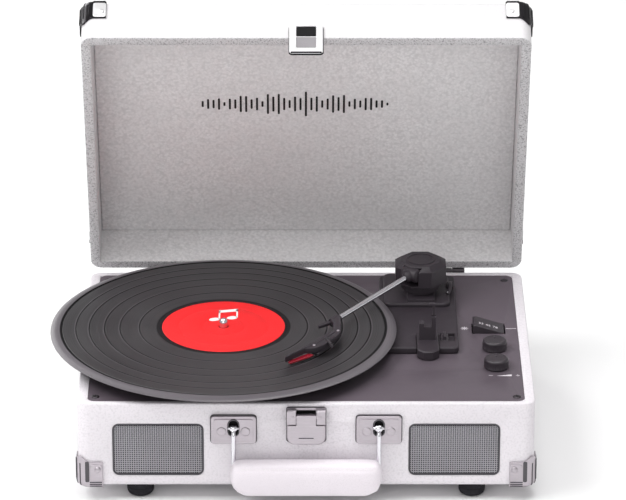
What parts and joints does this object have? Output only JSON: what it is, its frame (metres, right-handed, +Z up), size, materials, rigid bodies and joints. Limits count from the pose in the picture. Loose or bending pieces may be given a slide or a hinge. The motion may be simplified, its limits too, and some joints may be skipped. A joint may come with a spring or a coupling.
{
  "type": "suitcase record player",
  "caption": "Suitcase record player: vinyl-covered case, hinged lid, belt-driven platter with a record, pivoting tonearm, front speakers, latch and carrying handle.",
  "frame": {"origin": "middle of the bounding box's footprint, on the surface the feet stand on", "axes": "+Z up, the front with the speakers and the handle faces -Y, +X to the right seen from the front"},
  "size_m": [0.3835, 0.3211, 0.3405],
  "materials": {
    "white_vinyl": "MDF board covered in white leather-grain vinyl",
    "white_leatherette": "smooth white padded leatherette",
    "lid_lining": "light grey stippled lining",
    "deck_plastic": "satin dark warm grey",
    "arm_plastic": "satin near-black",
    "knob_plastic": "satin black",
    "record_vinyl": "grooved, soft gloss",
    "label_paper": "red printed paper",
    "foot_rubber": "matt black",
    "grille_mesh": "grey woven mesh",
    "satin_nickel": "satin nickel plate",
    "bright_steel": "polished",
    "dark_metal": "dark painted",
    "stylus_red": "dark red moulded",
    "circuit_board": "green solder mask"
  },
  "bodies": {
    "base": {"base_box": "white_vinyl", "deck_plate": "deck_plastic", "transit_screw": "dark_metal", "speaker_grille_left": "grille_mesh", "speaker_grille_right": "grille_mesh", "speaker_left": "dark_metal", "speaker_right": "dark_metal", "handle_bracket_left": "satin_nickel", "handle_bracket_right": "satin_nickel", "hinge_leaf_base_left": "dark_metal", "hinge_leaf_base_right": "dark_metal", "foot_front_left": "foot_rubber", "foot_front_right": "foot_rubber", "foot_rear_left": "foot_rubber", "foot_rear_right": "foot_rubber", "base_cap_front_left": "satin_nickel", "base_cap_front_right": "satin_nickel", "base_cap_rear_left": "satin_nickel", "base_cap_rear_right": "satin_nickel", "latch_plate": "satin_nickel", "jack_panel": "arm_plastic", "dc_jack": "arm_plastic", "line_out_block": "arm_plastic", "platter_bearing": "dark_metal", "drive_belt": "foot_rubber", "motor": "dark_metal", "main_board": "circuit_board", "control_board": "circuit_board", "tonearm_base": "arm_plastic", "arm_rest": "arm_plastic"},
    "platter": {"platter": "deck_plastic", "platter_mat": "foot_rubber", "record": "record_vinyl", "record_label": "label_paper", "spindle": "bright_steel"},
    "pulley": {"motor_pulley": "bright_steel"},
    "arm_head": {"tonearm_head": "arm_plastic"},
    "arm": {"tonearm_tube": "bright_steel", "headshell": "arm_plastic", "cartridge": "arm_plastic", "stylus": "stylus_red"},
    "clip": {"arm_clip": "arm_plastic"},
    "cue": {"cue_lever": "arm_plastic"},
    "auto_stop": {"auto_stop_lever": "knob_plastic"},
    "rocker": {"speed_rocker": "knob_plastic"},
    "mode": {"mode_knob": "knob_plastic"},
    "volume": {"volume_knob": "knob_plastic"},
    "flap": {"latch_flap": "satin_nickel"},
    "handle": {"handle_frame": "bright_steel", "handle_grip": "white_leatherette"},
    "lid": {"lid_shell": "white_vinyl", "lid_lining": "lid_lining", "hinge_leaf_lid_left": "dark_metal", "hinge_leaf_lid_right": "dark_metal", "lid_cap_front_left": "satin_nickel", "lid_cap_front_right": "satin_nickel", "lid_cap_rear_left": "satin_nickel", "lid_cap_rear_right": "satin_nickel", "lid_hasp": "satin_nickel"}
  },
  "joints": [
    {"name": "lid_hinge", "type": "hinge", "parent": "base", "child": "lid", "pos_m": [0.0122, 0.1196, 0.08365], "axis": [-1, 0, 0], "range_deg": [-30, 32]},
    {"name": "platter_spin", "type": "hinge", "parent": "base", "child": "platter", "pos_m": [-0.0537, -0.023, 0.0847], "axis": [0, 0, -1], "continuous": true},
    {"name": "pulley_spin", "type": "hinge", "parent": "base", "child": "pulley", "pos_m": [-0.11168, -0.08098, 0.0847], "axis": [0, 0, -1], "continuous": true},
    {"name": "tonearm_swing", "type": "hinge", "parent": "base", "child": "arm_head", "pos_m": [0.1052, 0.059, 0.1012], "axis": [0, 0, 1], "range_deg": [-8, 39]},
    {"name": "tonearm_lift", "type": "hinge", "parent": "arm_head", "child": "arm", "pos_m": [0.0974, 0.0436, 0.1134], "axis": [-0.7749, 0.632, 0], "range_deg": [0, 12]},
    {"name": "cue_lever_lift", "type": "hinge", "parent": "base", "child": "cue", "pos_m": [0.1294, 0.069, 0.0927], "axis": [-1, 0, 0], "range_deg": [0, 24]},
    {"name": "arm_clip_fold", "type": "hinge", "parent": "base", "child": "clip", "pos_m": [0.1136, -0.0325, 0.1084], "axis": [0, 1, 0], "range_deg": [-90, 0]},
    {"name": "auto_stop_slide", "type": "slide", "parent": "base", "child": "auto_stop", "axis": [1, 0, 0], "range_m": [0, 0.0045]},
    {"name": "speed_rock", "type": "hinge", "parent": "base", "child": "rocker", "pos_m": [0.1587, 0.0035, 0.08], "axis": [0, -1, 0], "range_deg": [0, 12]},
    {"name": "mode_turn", "type": "hinge", "parent": "base", "child": "mode", "pos_m": [0.1622, -0.036, 0.0838], "axis": [0, 0, -1], "range_deg": [0, 60]},
    {"name": "volume_turn", "type": "hinge", "parent": "base", "child": "volume", "pos_m": [0.1622, -0.071, 0.0838], "axis": [0, 0, -1], "range_deg": [0, 300]},
    {"name": "latch_flap_swing", "type": "hinge", "parent": "base", "child": "flap", "pos_m": [0.0122, -0.1437, 0.0738], "axis": [1, 0, 0], "range_deg": [-110, 0]},
    {"name": "handle_swing", "type": "hinge", "parent": "base", "child": "handle", "pos_m": [0.0122, -0.1427, 0.064], "axis": [-1, 0, 0], "range_deg": [0, 120]}
  ],
  "couplings": [
    {"joint": "pulley_spin", "follows": "platter_spin", "ratio": 11.5},
    {"joint": "cue_lever_lift", "follows": "tonearm_lift", "ratio": 2}
  ]
}
